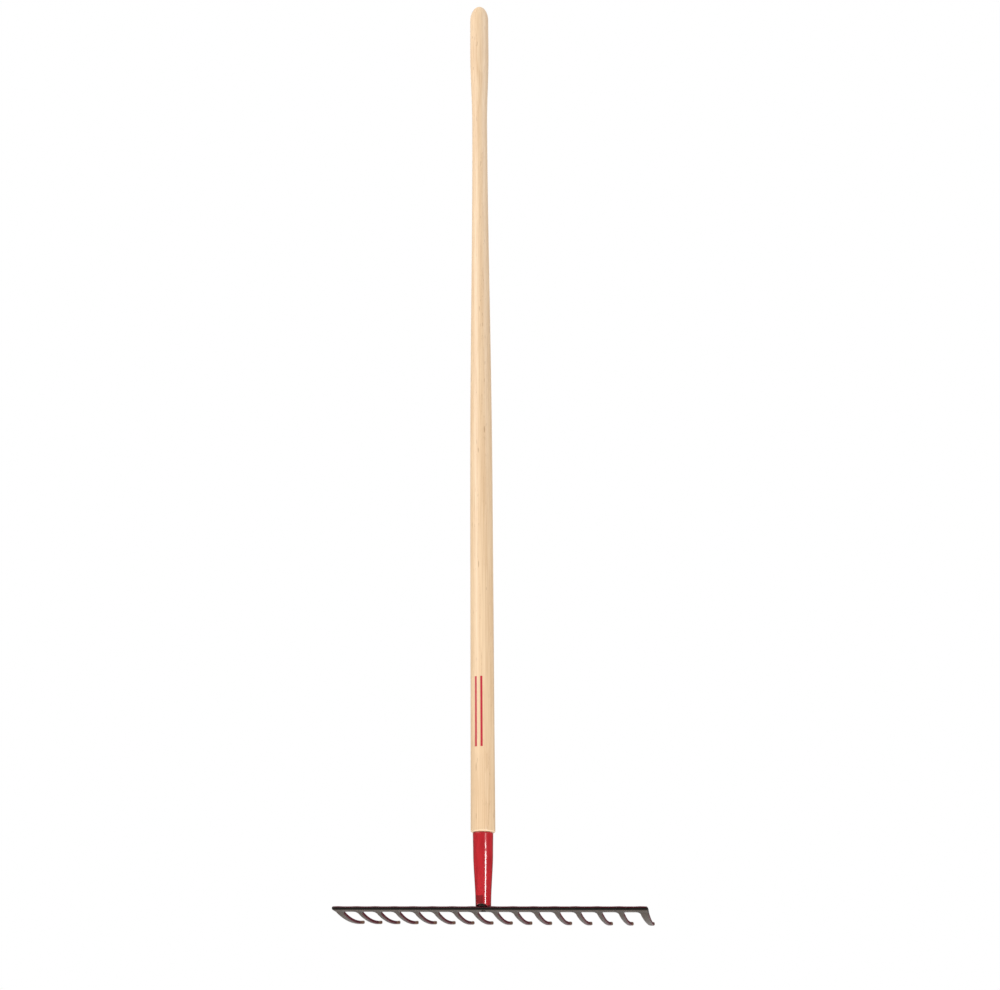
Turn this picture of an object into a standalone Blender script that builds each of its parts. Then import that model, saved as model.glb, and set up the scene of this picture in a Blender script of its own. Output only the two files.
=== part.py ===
"""Level-head rake: a turned ash handle, a tapered steel ferrule and a forged steel head.

The head is one forging, a straight bar that carries a row of curved teeth. A round tang stands
on the bar, goes up through the ferrule and ends in a bore in the handle. The handle's tenon
fills the ferrule, and a pin holds the two together. A notch at the back of the ferrule's mouth
shows the tang's collar.

Metres. +X runs along the bar, +Y is the way the teeth point, +Z runs up the handle. The origin
is the centre of the bar's flat back face.
"""

import math

import bmesh
import bpy
from mathutils import Matrix, Vector

# Clearance left between two pieces that touch on the real rake.
GAP = 0.0003

# Head: bar and teeth.
TOOTH_COUNT = 16
TOOTH_PITCH = 0.0254
TOOTH_WIDTH = 0.0049
TOOTH_ROOT_WIDTH = 0.0064
TOOTH_THICKNESS = 0.0041
TOOTH_REACH = 0.0898  # from the bar's back face to the end of a tooth
BAR_DEPTH = 0.0102  # from the bar's back face to the bottom of the gaps
BAR_BACK_HEIGHT = 0.0042
BAR_END_MARGIN = 0.0077  # from the middle of an end tooth to the end of the bar
BAR_UNDERSIDE_DROP = 0.0020  # how far the underside falls from the back face to the gaps
ROOT_FILLET_ALONG_BAR = 0.0038
ROOT_FILLET_ALONG_TOOTH = 0.0075
TOOTH_ARC_RADIUS = 0.177
TOOTH_ARC_LOWEST_Y = 0.069
TOOTH_TAPER_LENGTH = 0.040  # from the end of the root fillet to the tooth's even width
TOOTH_TOP_BLEND = 0.010  # the length over which a tooth's top comes down from the bar's top
HEAD_EDGE_ROUND = 0.0014

# Tang: a stub through the bar, a collar in the ferrule's mouth and a tapered shank.
STUB_RADIUS = 0.0026
STUB_PROUD = 0.0005
COLLAR_HEIGHT = 0.0100
COLLAR_SLOPE = 0.0120
SHANK_RADIUS = 0.0040
SHANK_TIP_RADIUS = 0.0025
SHANK_LENGTH = 0.115

# Ferrule.
FERRULE_LENGTH = 0.0863
FERRULE_WALL = 0.0016
FERRULE_BOTTOM_RADIUS = 0.0095
FERRULE_SWELL_RADIUS = 0.0124
FERRULE_TOP_RADIUS = 0.0128
FERRULE_TAPER_SHARE = 0.76  # the share of its length in which it widens to the swell
NOTCH_HALF_WIDTH = 0.0066
NOTCH_HEIGHT = 0.0030  # above the bar

# Handle: a tenon in the ferrule, then its stretches from the shoulder to the top of the dome.
HANDLE_SETBACK = 0.0040  # from the bottom of the gaps to the handle's axis
TENON_LENGTH = 0.058
SHOULDER_RADIUS = 0.0154
SHOULDER_ROUND = 0.0018
BELLY_RADIUS = 0.0160
NECK_RADIUS = 0.0127
KNOB_RADIUS = 0.0161
BELLY_LENGTH = 0.511  # it widens from the shoulder
TAPER_LENGTH = 0.600  # it narrows to the neck
NECK_LENGTH = 0.050
SWELL_LENGTH = 0.165  # it widens to the knob
KNOB_LENGTH = 0.079
DOME_LENGTH = 0.030

# Ferrule pin, driven in from the side that the teeth point to.
PIN_RADIUS = 0.0015
PIN_HEAD_RADIUS = 0.0029
PIN_HEAD_HEIGHT = 0.0009
PIN_LENGTH = 0.0070
PIN_DROP = 0.020  # below the shoulder

ROUND_SEGMENTS = 40
SMALL_SEGMENTS = 20
ARC_STEPS = 4
TOOTH_STEPS = 8
RIM_ANGLE = math.radians(80)
FLAT = 1e-7

HANDLE_Y = BAR_DEPTH - HANDLE_SETBACK
BAR_TOP_Z = BAR_BACK_HEIGHT / 2
FERRULE_BOTTOM_Z = BAR_TOP_Z + GAP
SHOULDER_Z = FERRULE_BOTTOM_Z + FERRULE_LENGTH + GAP
TENON_END_Z = SHOULDER_Z - TENON_LENGTH
STUB_HOLE_RADIUS = STUB_RADIUS + GAP
COLLAR_BOTTOM_Z = BAR_TOP_Z + GAP
COLLAR_TOP_Z = COLLAR_BOTTOM_Z + COLLAR_HEIGHT
SHANK_BOTTOM_Z = COLLAR_TOP_Z + COLLAR_SLOPE
SHANK_TOP_Z = SHANK_BOTTOM_Z + SHANK_LENGTH
COLLAR_RADIUS = FERRULE_BOTTOM_RADIUS - FERRULE_WALL - GAP
NECK_START = BELLY_LENGTH + TAPER_LENGTH
SWELL_START = NECK_START + NECK_LENGTH
KNOB_START = SWELL_START + SWELL_LENGTH
DOME_START = KNOB_START + KNOB_LENGTH


def ease(start, end, share):
    """A value that leaves start and reaches end with no slope at either, as a turner blends two diameters."""
    share = min(max(share, 0.0), 1.0)
    return start + (end - start) * share * share * (3 - 2 * share)


def spread(start, end, count):
    """count + 1 even values from start to end."""
    return [start + (end - start) * i / count for i in range(count + 1)]


def clear_scene():
    for obj in list(bpy.data.objects):
        bpy.data.objects.remove(obj, do_unlink=True)


def material(name, colour, roughness, metallic):
    made = bpy.data.materials.new(name)
    made.use_nodes = True
    shader = made.node_tree.nodes["Principled BSDF"]
    shader.inputs["Base Color"].default_value = (*colour, 1.0)
    shader.inputs["Roughness"].default_value = roughness
    shader.inputs["Metallic"].default_value = metallic
    return made


def add_object(name, bm, finish, parent):
    bmesh.ops.recalc_face_normals(bm, faces=bm.faces[:])
    mesh = bpy.data.meshes.new(name)
    bm.to_mesh(mesh)
    bm.free()
    mesh.shade_smooth()
    mesh.set_sharp_from_angle(angle=math.radians(35))
    mesh.materials.append(finish)
    obj = bpy.data.objects.new(name, mesh)
    bpy.context.scene.collection.objects.link(obj)
    obj.parent = parent
    return obj


def turned(profile, segments, ring=False):
    """Turns (radius, z) points about +Z: a solid from an open line, or a ring from a loop off the axis."""
    bm = bmesh.new()
    points = [bm.verts.new((radius, 0.0, z)) for radius, z in profile]
    pairs = zip(points, points[1:] + points[:1]) if ring else zip(points, points[1:])
    edges = [bm.edges.new(pair) for pair in pairs]
    bmesh.ops.spin(
        bm,
        geom=points + edges,
        cent=(0, 0, 0),
        axis=(0, 0, 1),
        angle=2 * math.pi,
        steps=segments,
        use_merge=True,
    )
    bmesh.ops.remove_doubles(bm, verts=bm.verts[:], dist=1e-6)
    return bm


def cut(obj, cutter):
    """Cuts a wire-frame helper out of a piece."""
    cutter.hide_render = True
    cutter.display_type = "WIRE"
    boolean = obj.modifiers.new(f"cut_{cutter.name}", "BOOLEAN")
    boolean.operation = "DIFFERENCE"
    boolean.solver = "EXACT"
    boolean.object = cutter


# Head


def tooth_underside(y):
    """Height of a tooth's underside: one arc, lowest near the tooth's end."""
    lowest = -BAR_TOP_Z - BAR_UNDERSIDE_DROP - arc_rise(BAR_DEPTH)
    return lowest + arc_rise(y)


def arc_rise(y):
    """Height of the tooth's arc over its lowest point."""
    return TOOTH_ARC_RADIUS - math.sqrt(TOOTH_ARC_RADIUS**2 - (y - TOOTH_ARC_LOWEST_Y) ** 2)


def head_underside(y):
    if y <= BAR_DEPTH:
        return -BAR_TOP_Z - BAR_UNDERSIDE_DROP * max(y, 0.0) / BAR_DEPTH
    return tooth_underside(y)


def head_top(y):
    """The bar's top is flat, and each tooth's top comes down from it to lie parallel to the arc."""
    if y <= BAR_DEPTH:
        return BAR_TOP_Z
    return ease(BAR_TOP_Z, tooth_underside(y) + TOOTH_THICKNESS, (y - BAR_DEPTH) / TOOTH_TOP_BLEND)


def tooth_half_width(y):
    """Half the width of a tooth past its root fillet."""
    share = (y - BAR_DEPTH - ROOT_FILLET_ALONG_TOOTH) / TOOTH_TAPER_LENGTH
    return ease(TOOTH_ROOT_WIDTH, TOOTH_WIDTH, share) / 2


def end_tooth_side(share):
    """Distance of an end tooth's outer side from the tooth's middle, at a share of the way along it."""
    return BAR_END_MARGIN + (TOOTH_WIDTH / 2 - BAR_END_MARGIN) * share


def tooth_stations(flush_with_bar_end):
    """(y, distance from the tooth's middle) down one side: back face, root of the gap, fillet, then the tooth.

    The outer side of an end tooth has no root fillet: it runs straight from the end of the bar.
    """
    straight_end = TOOTH_REACH - TOOTH_WIDTH / 2
    stations = []
    for angle in spread(0, math.pi / 2, ARC_STEPS):
        y = BAR_DEPTH + ROOT_FILLET_ALONG_TOOTH * (1 - math.cos(angle))
        stations.append((y, tooth_half_width(y) + ROOT_FILLET_ALONG_BAR * (1 - math.sin(angle))))
    for y in spread(stations[-1][0], straight_end, TOOTH_STEPS)[1:]:
        stations.append((y, tooth_half_width(y)))
    stations.insert(0, (0, stations[0][1]))
    if flush_with_bar_end:
        return [(y, end_tooth_side(y / straight_end)) for y, _ in stations]
    return stations


def tooth_outline(index):
    """(y, left x, right x) rows from the bar's back face to the tooth's round end, then its last point."""
    middle = (index - (TOOTH_COUNT - 1) / 2) * TOOTH_PITCH
    left = tooth_stations(index == 0)
    right = tooth_stations(index == TOOTH_COUNT - 1)
    rows = [(y, middle - a, middle + b) for (y, a), (_, b) in zip(left, right)]
    half = TOOTH_WIDTH / 2
    for angle in spread(0, math.pi / 2, ARC_STEPS)[1:-1]:
        y = TOOTH_REACH - half + half * math.sin(angle)
        rows.append((y, middle - half * math.cos(angle), middle + half * math.cos(angle)))
    return rows, (middle, TOOTH_REACH)


def head_plan(bm):
    """The head seen from above, as one flat sheet of faces: two bar faces to a tooth, then the tooth."""
    previous = None
    for index in range(TOOTH_COUNT):
        rows, end = tooth_outline(index)
        pairs = [[bm.verts.new((x, y, 0)) for x in (left, right)] for y, left, right in rows]
        if previous:
            bm.faces.new((previous[0][1], pairs[0][0], pairs[1][0], previous[1][1]))
        for near, far in zip(pairs, pairs[1:]):
            bm.faces.new((near[0], near[1], far[1], far[0]))
        bm.faces.new((pairs[-1][0], pairs[-1][1], bm.verts.new((*end, 0))))
        previous = pairs


def is_rim(edge):
    """Whether an edge lies along the top or the bottom of the head's outline."""
    first, second = edge.verts
    return abs(first.co.z - second.co.z) < FLAT and edge.calc_face_angle(0) > RIM_ANGLE


def build_head(finish, parent):
    bm = bmesh.new()
    head_plan(bm)
    # The plan is made a plate, its rims are rounded, and each point then takes its height
    # from the head's underside and top.
    raised = bmesh.ops.extrude_face_region(bm, geom=bm.faces[:])
    moved = [item for item in raised["geom"] if isinstance(item, bmesh.types.BMVert)]
    bmesh.ops.translate(bm, verts=moved, vec=(0, 0, TOOTH_THICKNESS))
    bmesh.ops.recalc_face_normals(bm, faces=bm.faces[:])
    bm.normal_update()
    bmesh.ops.bevel(
        bm,
        geom=[edge for edge in bm.edges if is_rim(edge)],
        offset=HEAD_EDGE_ROUND,
        offset_type="OFFSET",
        segments=2,
        profile=0.5,
        affect="EDGES",
        clamp_overlap=False,
        material=-1,
    )
    for vertex in bm.verts:
        low, high = head_underside(vertex.co.y), head_top(vertex.co.y)
        vertex.co.z = low + (high - low) * vertex.co.z / TOOTH_THICKNESS
    head = add_object("rake_head", bm, finish, parent)
    past = BAR_BACK_HEIGHT + BAR_UNDERSIDE_DROP
    hole = [(0, -past), (STUB_HOLE_RADIUS, -past), (STUB_HOLE_RADIUS, past), (0, past)]
    cutter = add_object("tang_hole", turned(hole, SMALL_SEGMENTS), finish, parent)
    cutter.location = (0, HANDLE_Y, 0)
    cut(head, cutter)


# Tang


def tang_slopes(clearance):
    """(radius, z) up the tang from the top of its collar to the end of its shank, a clearance outside it."""
    return [
        (COLLAR_RADIUS + clearance, COLLAR_TOP_Z),
        (SHANK_RADIUS + clearance, SHANK_BOTTOM_Z),
        (SHANK_TIP_RADIUS + clearance, SHANK_TOP_Z + clearance),
    ]


def build_tang(finish, parent):
    stub_end = head_underside(HANDLE_Y) - STUB_PROUD
    profile = [(0, stub_end), (STUB_RADIUS - STUB_PROUD, stub_end), (STUB_RADIUS, stub_end + STUB_PROUD)]
    profile += [(STUB_RADIUS, COLLAR_BOTTOM_Z), (COLLAR_RADIUS, COLLAR_BOTTOM_Z), *tang_slopes(0)]
    profile.append((0, SHANK_TOP_Z))
    tang = add_object("tang", turned(profile, SMALL_SEGMENTS), finish, parent)
    tang.location = (0, HANDLE_Y, 0)


# Ferrule


def ferrule_radius(z):
    """Outer radius: a taper that swells, then almost straight to the shoulder."""
    share = (z - FERRULE_BOTTOM_Z) / FERRULE_LENGTH
    if share < FERRULE_TAPER_SHARE:
        return ease(FERRULE_BOTTOM_RADIUS, FERRULE_SWELL_RADIUS, share / FERRULE_TAPER_SHARE)
    rest = (share - FERRULE_TAPER_SHARE) / (1 - FERRULE_TAPER_SHARE)
    return FERRULE_SWELL_RADIUS + (FERRULE_TOP_RADIUS - FERRULE_SWELL_RADIUS) * rest


def build_ferrule(finish, parent):
    heights = spread(FERRULE_BOTTOM_Z, FERRULE_BOTTOM_Z + FERRULE_LENGTH, 14)
    outer = [(ferrule_radius(z), z) for z in heights]
    inner = [(ferrule_radius(z) - FERRULE_WALL, z) for z in reversed(heights)]
    ferrule = add_object("ferrule", turned(outer + inner, ROUND_SEGMENTS, ring=True), finish, parent)
    ferrule.location = (0, HANDLE_Y, 0)
    # Half an ellipse through the wall at the back only: it ends short of the axis.
    bm = bmesh.new()
    depth = 2 * FERRULE_BOTTOM_RADIUS
    bmesh.ops.create_cone(bm, segments=28, radius1=1, radius2=1, depth=depth, cap_ends=True)
    bmesh.ops.rotate(bm, verts=bm.verts[:], matrix=Matrix.Rotation(math.pi / 2, 3, "X"))
    bmesh.ops.scale(bm, verts=bm.verts[:], vec=(NOTCH_HALF_WIDTH, 1, NOTCH_HEIGHT))
    notch = add_object("mouth_notch", bm, finish, parent)
    notch.location = (0, HANDLE_Y - 0.6 * depth, BAR_TOP_Z)
    cut(ferrule, notch)
    return ferrule


# Handle


def handle_radius(height):
    """Radius at a height above the shoulder: the belly, a long taper to the neck, then the knob."""
    if height < BELLY_LENGTH:
        return ease(SHOULDER_RADIUS, BELLY_RADIUS, height / BELLY_LENGTH)
    if height < NECK_START:
        return ease(BELLY_RADIUS, NECK_RADIUS, (height - BELLY_LENGTH) / TAPER_LENGTH)
    return ease(NECK_RADIUS, KNOB_RADIUS, (height - SWELL_START) / SWELL_LENGTH)


def handle_profile():
    """(radius, z) from the tenon's end on the axis, up the outside to the top of the dome."""
    tenon_heights = spread(TENON_END_Z, SHOULDER_Z, 8)
    profile = [(0, TENON_END_Z)]
    profile += [(ferrule_radius(z) - FERRULE_WALL - GAP, z) for z in tenon_heights]
    for angle in spread(0, math.pi / 2, 3):
        radius = SHOULDER_RADIUS - SHOULDER_ROUND * (1 - math.sin(angle))
        profile.append((radius, SHOULDER_Z + SHOULDER_ROUND * (1 - math.cos(angle))))
    body = spread(SHOULDER_ROUND, DOME_START, 36)[1:]
    profile += [(handle_radius(height), SHOULDER_Z + height) for height in body]
    for angle in spread(0, math.pi / 2, 7)[1:]:
        z = SHOULDER_Z + DOME_START + DOME_LENGTH * math.sin(angle)
        profile.append((KNOB_RADIUS * math.cos(angle), z))
    profile[-1] = (0, profile[-1][1])
    return profile


def build_handle(finish, parent):
    handle = add_object("handle", turned(handle_profile(), ROUND_SEGMENTS), finish, parent)
    handle.location = (0, HANDLE_Y, 0)
    # The bore follows the tang, so that the tenon clears the collar too if it is made to reach it.
    line = tang_slopes(GAP)
    bore_profile = [(0, line[0][1]), *line, (0, line[-1][1])]
    bore = add_object("tang_bore", turned(bore_profile, SMALL_SEGMENTS), finish, parent)
    bore.location = (0, HANDLE_Y, 0)
    cut(handle, bore)
    return handle


# Ferrule pin


def build_pin(finish, parent, ferrule, handle):
    z = SHOULDER_Z - PIN_DROP
    seat = ferrule_radius(z) + GAP
    profile = [(0, -PIN_LENGTH), (PIN_RADIUS * 0.5, -PIN_LENGTH), (PIN_RADIUS, -PIN_LENGTH + PIN_RADIUS)]
    profile += [(PIN_RADIUS, 0), (PIN_HEAD_RADIUS, 0)]
    for angle in spread(0, math.pi / 2, ARC_STEPS)[1:]:
        profile.append((PIN_HEAD_RADIUS * math.cos(angle), PIN_HEAD_HEIGHT * math.sin(angle)))
    profile[-1] = (0, PIN_HEAD_HEIGHT)
    pin = add_object("ferrule_pin", turned(profile, SMALL_SEGMENTS), finish, parent)
    # The pin's own +Z, towards its head, is turned to the way the teeth point.
    outward = Matrix.Rotation(-math.pi / 2, 4, "X")
    pin.matrix_basis = Matrix.Translation(Vector((0, HANDLE_Y + seat, z))) @ outward
    hole_radius = PIN_RADIUS + GAP
    depth = PIN_LENGTH + GAP
    hole = [(0, -depth), (hole_radius, -depth), (hole_radius, FERRULE_WALL), (0, FERRULE_WALL)]
    cutter = add_object("pin_hole", turned(hole, SMALL_SEGMENTS), finish, parent)
    cutter.matrix_basis = pin.matrix_basis.copy()
    cut(ferrule, cutter)
    cut(handle, cutter)


def main():
    clear_scene()
    root = bpy.data.objects.new("rake", None)
    bpy.context.scene.collection.objects.link(root)
    ash = material("ash_wood", (0.76, 0.56, 0.36), 0.55, 0.0)
    red = material("red_enamel", (0.50, 0.012, 0.020), 0.15, 0.0)
    black = material("black_enamel", (0.045, 0.038, 0.034), 0.42, 0.0)
    steel = material("tang_steel", (0.05, 0.045, 0.04), 0.45, 0.6)
    build_head(black, root)
    build_tang(steel, root)
    ferrule = build_ferrule(red, root)
    handle = build_handle(ash, root)
    build_pin(steel, root, ferrule, handle)


main()
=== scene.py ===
"""Level-head garden rake: turned ash handle, red enamelled ferrule and forged steel head.

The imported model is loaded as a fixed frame, and each piece of the rake is then made again as a
finer mesh in the same place. Metres: +X runs along the bar, +Y is the way the teeth point, and
+Z runs up the handle.
"""

import logging
import math
from dataclasses import dataclass
from enum import Enum

import bmesh
import bpy
from mathutils import Matrix, Vector


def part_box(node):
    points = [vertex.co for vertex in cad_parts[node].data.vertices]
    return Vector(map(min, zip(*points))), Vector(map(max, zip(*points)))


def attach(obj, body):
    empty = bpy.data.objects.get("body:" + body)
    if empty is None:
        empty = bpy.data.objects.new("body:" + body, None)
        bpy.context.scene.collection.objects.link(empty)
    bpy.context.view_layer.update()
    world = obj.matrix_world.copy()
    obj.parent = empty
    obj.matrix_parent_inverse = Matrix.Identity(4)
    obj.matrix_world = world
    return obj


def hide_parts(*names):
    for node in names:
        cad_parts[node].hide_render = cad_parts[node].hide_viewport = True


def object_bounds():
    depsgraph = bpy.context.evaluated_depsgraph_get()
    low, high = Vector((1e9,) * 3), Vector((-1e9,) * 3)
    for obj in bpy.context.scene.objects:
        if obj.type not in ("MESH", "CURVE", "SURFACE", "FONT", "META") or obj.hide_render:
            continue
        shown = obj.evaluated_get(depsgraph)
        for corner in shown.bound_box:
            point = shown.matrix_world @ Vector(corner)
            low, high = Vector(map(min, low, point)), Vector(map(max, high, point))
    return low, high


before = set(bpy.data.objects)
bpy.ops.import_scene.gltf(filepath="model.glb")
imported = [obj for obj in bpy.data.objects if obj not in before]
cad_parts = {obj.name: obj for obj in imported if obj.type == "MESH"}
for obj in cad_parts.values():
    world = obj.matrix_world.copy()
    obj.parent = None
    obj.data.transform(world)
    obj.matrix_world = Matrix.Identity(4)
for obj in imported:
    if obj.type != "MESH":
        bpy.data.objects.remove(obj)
CAD_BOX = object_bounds()

LOG = logging.getLogger("rake")
BODY = "root"
GAP = 0.0003
MM = 0.001
FULL_TURN = 2 * math.pi
QUARTER = math.pi / 2

Point = tuple[float, float]
Colour = tuple[float, float, float, float]


# Small helpers


def linear(hex_colour: str) -> Colour:
    """Turns an sRGB hex colour into linear RGBA.

    Args:
        hex_colour: such as "#C4202B".

    Returns:
        The linear red, green and blue, with an alpha of 1.
    """
    channels = [int(hex_colour[i : i + 2], 16) / 255 for i in (1, 3, 5)]
    red, green, blue = [c / 12.92 if c <= 0.04045 else ((c + 0.055) / 1.055) ** 2.4 for c in channels]
    return (red, green, blue, 1.0)


def spread(start: float, end: float, count: int) -> list[float]:
    """Even values from start to end.

    Args:
        start: the first value.
        end: the last value.
        count: how many steps lie between them.

    Returns:
        count + 1 values.
    """
    return [start + (end - start) * i / count for i in range(count + 1)]


def ease(start: float, end: float, share: float) -> float:
    """A value that leaves start and reaches end with no slope at either.

    Args:
        start: the value at a share of 0 or less.
        end: the value at a share of 1 or more.
        share: how far along the stretch.

    Returns:
        The blended value.
    """
    share = min(max(share, 0.0), 1.0)
    return start + (end - start) * share * share * (3 - 2 * share)


def add_node(
    tree: bpy.types.NodeTree,
    kind: str,
    settings: dict[str | int, object] | None = None,
    links: dict[str | int, bpy.types.NodeSocket] | None = None,
) -> bpy.types.Node:
    """Adds a shader node with its settings and its incoming links.

    Args:
        tree: the node tree that takes the node.
        kind: the node's type, without its ShaderNode prefix.
        settings: values by property name, or by the name or number of an input.
        links: the sockets to feed from, by the name or number of the input.

    Returns:
        The new node.
    """
    node = tree.nodes.new(f"ShaderNode{kind}")
    for key, value in (settings or {}).items():
        if isinstance(key, str) and key not in node.inputs:
            setattr(node, key, value)
        else:
            node.inputs[key].default_value = value
    for key, socket in (links or {}).items():
        tree.links.new(socket, node.inputs[key])
    return node


def turned(profile: list[Point], segments: int, ring: bool = False) -> bmesh.types.BMesh:
    """Spins a profile about +Z.

    Args:
        profile: (radius, z) points, either an open line that starts and ends on the axis or a loop.
        segments: how many steps make the full turn.
        ring: whether the profile is a closed loop off the axis.

    Returns:
        The closed turned shape.
    """
    bm = bmesh.new()
    points = [bm.verts.new((radius, 0.0, z)) for radius, z in profile]
    pairs = zip(points, points[1:] + points[:1]) if ring else zip(points, points[1:])
    edges = [bm.edges.new(pair) for pair in pairs]
    bmesh.ops.spin(
        bm, geom=points + edges, cent=(0, 0, 0), axis=(0, 0, 1), angle=FULL_TURN, steps=segments, use_merge=True
    )
    bmesh.ops.remove_doubles(bm, verts=bm.verts[:], dist=1e-6)
    bmesh.ops.recalc_face_normals(bm, faces=bm.faces[:])
    return bm


def rounded_corner(corner: Point, radius: float, start: float, end: float, steps: int = 5) -> list[Point]:
    """Points of an arc for a turned profile.

    Args:
        corner: (radius, z) of the arc's centre.
        radius: the arc's own radius.
        start: the first angle, from straight out towards +Z.
        end: the last angle.
        steps: how many steps lie between them.

    Returns:
        The arc's (radius, z) points.
    """
    out, up = corner
    return [(out + radius * math.cos(a), up + radius * math.sin(a)) for a in spread(start, end, steps)]


def make_object(name: str, bm: bmesh.types.BMesh, sharp_degrees: float = 40.0) -> bpy.types.Object:
    """Turns a bmesh into an object at the origin, shaded smooth with its real corners kept sharp."""
    bmesh.ops.recalc_face_normals(bm, faces=bm.faces[:])
    mesh = bpy.data.meshes.new(name)
    bm.to_mesh(mesh)
    bm.free()
    mesh.shade_smooth()
    mesh.set_sharp_from_angle(angle=math.radians(sharp_degrees))
    piece = bpy.data.objects.new(name, mesh)
    bpy.context.scene.collection.objects.link(piece)
    return piece


def drill(piece: bpy.types.Object, hole: bmesh.types.BMesh) -> None:
    """Cuts a hole out of a piece's mesh, for good.

    Args:
        piece: the object to cut.
        hole: the closed shape of what is taken away. It is used up.
    """
    cutter = make_object(f"{piece.name}_hole", hole)
    boolean = piece.modifiers.new("hole", "BOOLEAN")
    boolean.operation = "DIFFERENCE"
    boolean.solver = "EXACT"
    boolean.object = cutter
    bpy.context.view_layer.update()
    cut = bpy.data.meshes.new_from_object(piece.evaluated_get(bpy.context.evaluated_depsgraph_get()))
    piece.modifiers.clear()
    old = piece.data
    piece.data = cut
    cut.name = piece.name
    bpy.data.meshes.remove(old)
    bpy.data.objects.remove(cutter)


def install(piece: bpy.types.Object, material: bpy.types.Material, slot: str, *nodes: str) -> bpy.types.Object:
    """Dresses a finished piece and hands it to the frame.

    Args:
        piece: the finished object.
        material: its finish.
        slot: the record's material slot that the finish stands for. It is not used.
        nodes: the CAD nodes that it replaces.

    Returns:
        The same object.
    """
    piece.data.materials.clear()
    piece.data.materials.append(material)
    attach(piece, BODY)
    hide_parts(*nodes)
    LOG.info("%s: %d faces, %s", piece.name, len(piece.data.polygons), material.name)
    return piece


# Finishes


@dataclass(frozen=True)
class Finish:
    """A surface finish: the name and the Principled constants that every one has."""

    name: str = "finish"
    roughness: float = 0.5
    metallic: float = 0.0
    coat: float = 0.0
    coat_roughness: float = 0.1
    specular: float = 0.5

    def start(self) -> tuple[bpy.types.Material, bpy.types.NodeTree, bpy.types.Node]:
        """Makes the material with its constant sockets set.

        Returns:
            The material, its node tree and its Principled shader.
        """
        made = bpy.data.materials.new(self.name)
        made.use_nodes = True
        tree = made.node_tree
        shader = tree.nodes["Principled BSDF"]
        shader.inputs["Roughness"].default_value = self.roughness
        shader.inputs["Metallic"].default_value = self.metallic
        shader.inputs["Specular IOR Level"].default_value = self.specular
        shader.inputs["Coat Weight"].default_value = self.coat
        shader.inputs["Coat Roughness"].default_value = self.coat_roughness
        return made, tree, shader


def object_coordinates(tree: bpy.types.NodeTree, scale: Vector, offset: Vector) -> bpy.types.NodeSocket:
    """Object coordinates, moved and then scaled.

    Args:
        tree: the node tree.
        scale: features per metre along each axis.
        offset: the point that becomes the pattern's origin, in metres.

    Returns:
        The scaled coordinates.
    """
    place = add_node(tree, "TexCoord").outputs["Object"]
    moved = add_node(tree, "VectorMath", {"operation": "SUBTRACT", 1: offset}, {0: place}).outputs[0]
    return add_node(tree, "VectorMath", {"operation": "MULTIPLY", 1: scale}, {0: moved}).outputs[0]


def ramp(tree: bpy.types.NodeTree, value: bpy.types.NodeSocket, low: float, high: float) -> bpy.types.NodeSocket:
    """A smooth step from 0 at low to 1 at high, or the other way round where low is the larger."""
    settings = {"interpolation_type": "SMOOTHSTEP", "From Min": low, "From Max": high}
    return add_node(tree, "MapRange", settings, {"Value": value}).outputs[0]


def blend_colour(
    tree: bpy.types.NodeTree,
    share: bpy.types.NodeSocket,
    first: bpy.types.NodeSocket | Colour,
    second: bpy.types.NodeSocket | Colour,
) -> bpy.types.NodeSocket:
    """Mixes two colours.

    Args:
        tree: the node tree.
        share: how much of the second colour.
        first: a colour or a socket.
        second: a colour or a socket.

    Returns:
        The mixed colour.
    """
    node = add_node(tree, "Mix", {"data_type": "RGBA"}, {0: share})
    for index, colour in ((6, first), (7, second)):
        if isinstance(colour, tuple):
            node.inputs[index].default_value = colour
        else:
            tree.links.new(colour, node.inputs[index])
    return node.outputs[2]


def combine(
    tree: bpy.types.NodeTree, operation: str, first: bpy.types.NodeSocket, second: bpy.types.NodeSocket | float
) -> bpy.types.NodeSocket:
    """The result of one Math operation on a socket and a socket or a number."""
    if isinstance(second, (int, float)):
        return add_node(tree, "Math", {"operation": operation, 1: second}, {0: first}).outputs[0]
    return add_node(tree, "Math", {"operation": operation}, {0: first, 1: second}).outputs[0]


def noise(
    tree: bpy.types.NodeTree, size: Vector, offset: Vector = Vector((0, 0, 0)), detail: float = 2.0
) -> bpy.types.NodeSocket:
    """Noise whose blotches have a real size.

    Args:
        tree: the node tree.
        size: the blotch's size along each axis, in millimetres.
        offset: where the pattern starts, in metres.
        detail: how many finer octaves are added.

    Returns:
        The noise value, about 0.5 on average.
    """
    scale = Vector([1 / (MM * s) for s in size])
    return add_node(
        tree, "TexNoise", {"Scale": 1.0, "Detail": detail}, {"Vector": object_coordinates(tree, scale, offset)}
    ).outputs[0]


def bump(
    tree: bpy.types.NodeTree, shader: bpy.types.Node, height: bpy.types.NodeSocket, depth_mm: float, strength: float
) -> None:
    """Raises the shader's surface by a height socket.

    Args:
        tree: the node tree.
        shader: the Principled shader.
        height: the pattern, from 0 to 1.
        depth_mm: how deep the pattern is.
        strength: how much of it shows.
    """
    node = add_node(tree, "Bump", {"Strength": strength, "Distance": depth_mm * MM}, {"Height": height})
    tree.links.new(node.outputs[0], shader.inputs["Normal"])


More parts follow.
